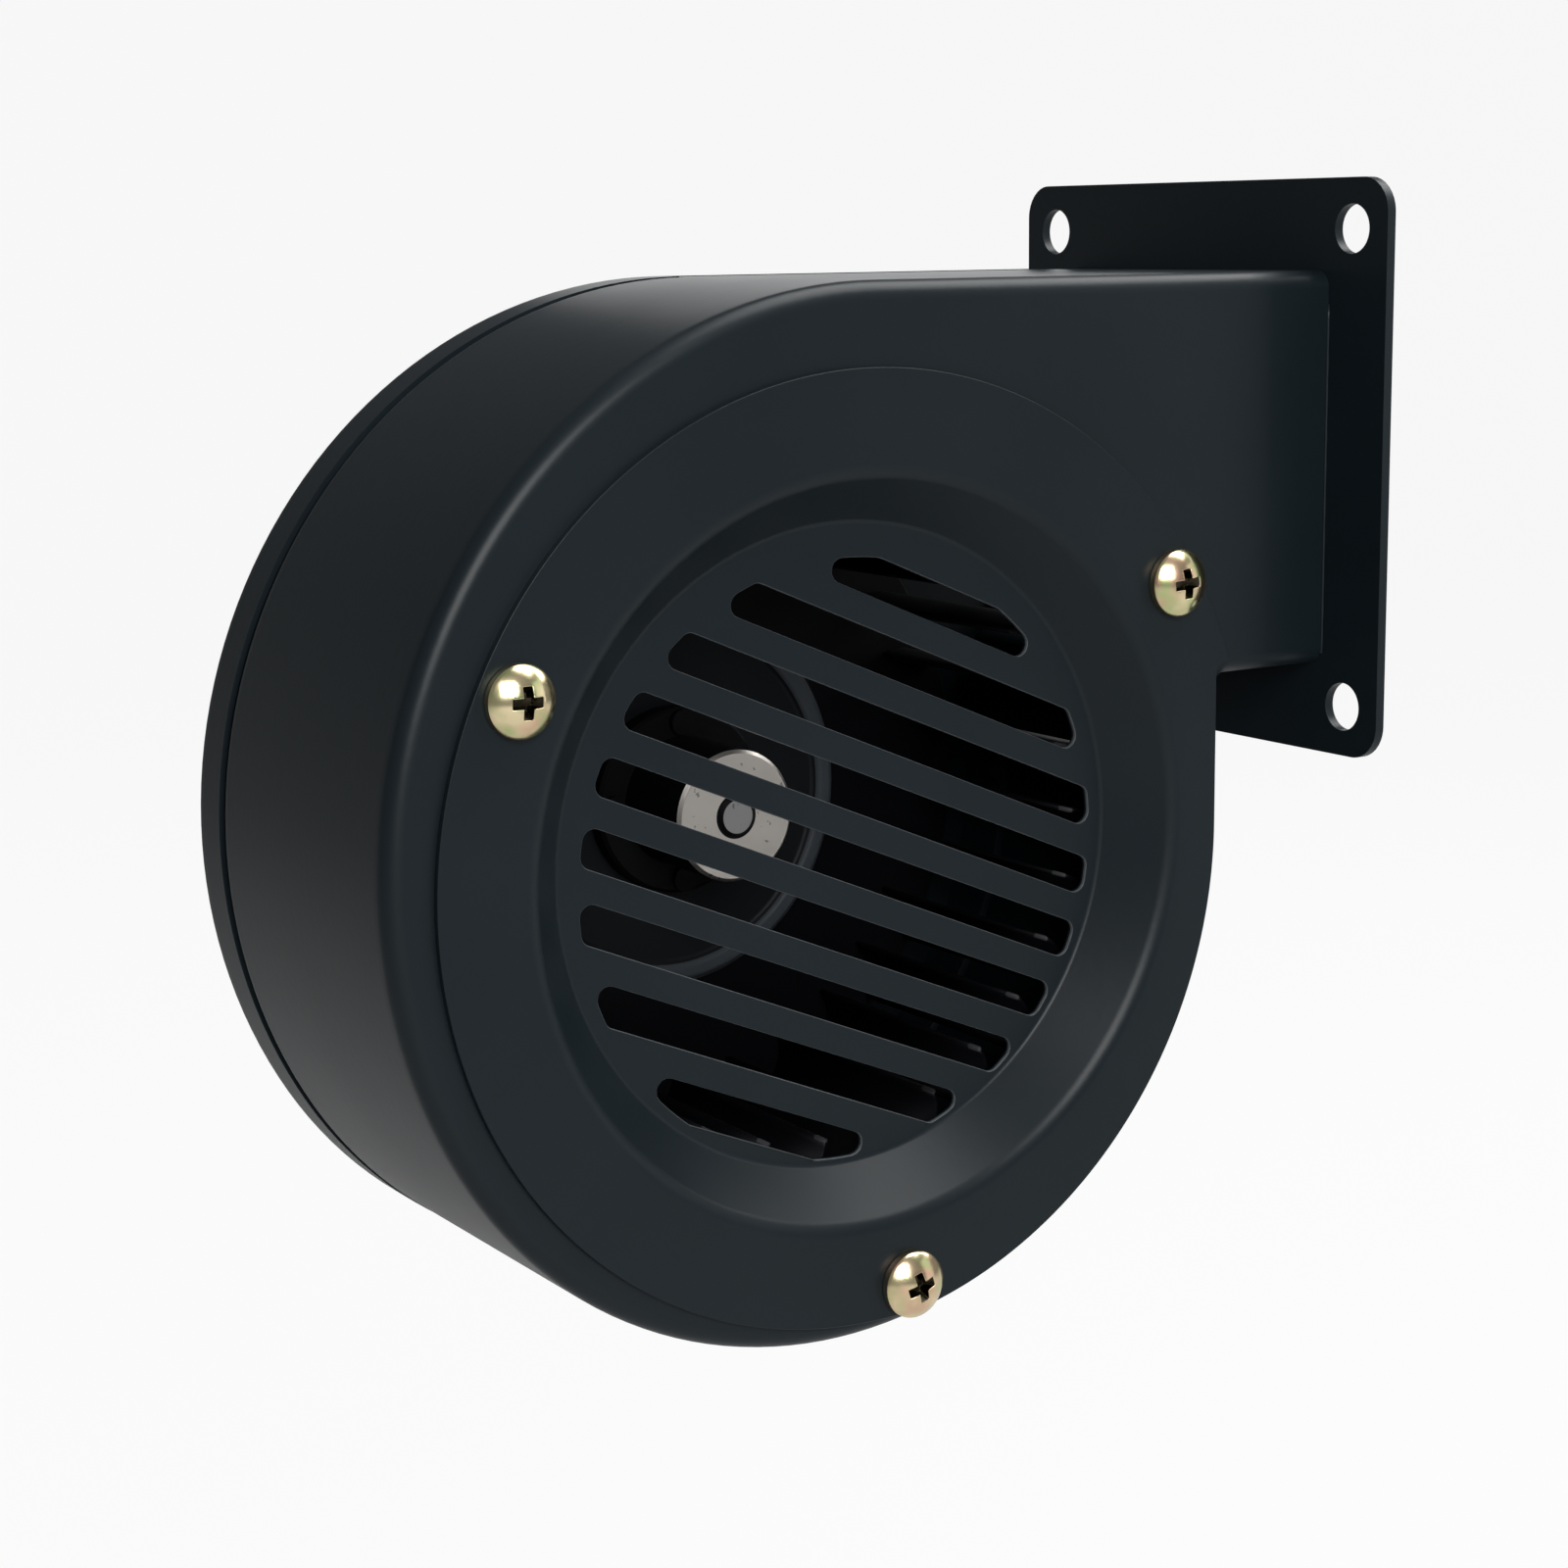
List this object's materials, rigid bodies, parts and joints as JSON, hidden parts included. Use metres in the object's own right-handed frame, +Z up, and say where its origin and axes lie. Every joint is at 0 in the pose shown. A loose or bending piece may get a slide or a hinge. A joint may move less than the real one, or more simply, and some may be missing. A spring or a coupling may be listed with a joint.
{
  "type": "centrifugal air mover",
  "caption": "Small sheet-metal centrifugal air mover: scroll casing, slotted round inlet cover, square outlet flange, forward-curved impeller and a motor on the back.",
  "frame": {"origin": "centre of the outlet flange's open face, in the middle of its four bolt holes", "axes": "+X out of the outlet, +Y from the inlet cover towards the motor along the rotor axis, +Z up"},
  "size_m": [0.1528, 0.1197, 0.1567],
  "materials": {
    "black_coat": "satin powder coat",
    "yellow_zinc": "yellow passivated zinc",
    "bright_zinc": "bright zinc plate",
    "dark_steel": "blackened sheet steel",
    "turned_aluminium": "turned",
    "ground_steel": "ground",
    "bearing_steel": "polished",
    "lamination": "varnished stack",
    "copper": "enamelled wire",
    "motor_shield": "cast, black painted",
    "cast_cage": "as cast",
    "rubber": "matt"
  },
  "bodies": {
    "housing": {"scroll_casing": "black_coat", "back_lid": "black_coat", "lid_tabs": "black_coat", "lid_screws": "bright_zinc", "outlet_flange": "black_coat", "inlet_cover": "black_coat", "inlet_cover_screws": "yellow_zinc", "bearing_outer_rings": "bearing_steel", "wave_washer": "ground_steel", "stator_core": "lamination", "stator_windings": "copper", "motor_front_shield": "motor_shield", "motor_rear_shield": "motor_shield", "cable_grommet": "rubber", "motor_tie_screws": "bright_zinc", "motor_mount_screws": "bright_zinc"},
    "rotor": {"impeller_back_disc": "dark_steel", "impeller_blades": "dark_steel", "impeller_front_ring": "dark_steel", "impeller_hub": "turned_aluminium", "impeller_set_screw": "dark_steel", "impeller_rivets": "dark_steel", "shaft": "ground_steel", "retaining_ring": "dark_steel", "bearing_inner_rings": "bearing_steel", "rotor_core": "lamination", "rotor_end_rings": "cast_cage", "rotor_spacers": "ground_steel", "bearing_balls": "bearing_steel"}
  },
  "joints": [
    {"name": "rotor_spin", "type": "hinge", "parent": "housing", "child": "rotor", "pos_m": [-0.0812, 0, -0.0477], "axis": [0, 1, 0], "continuous": true}
  ]
}
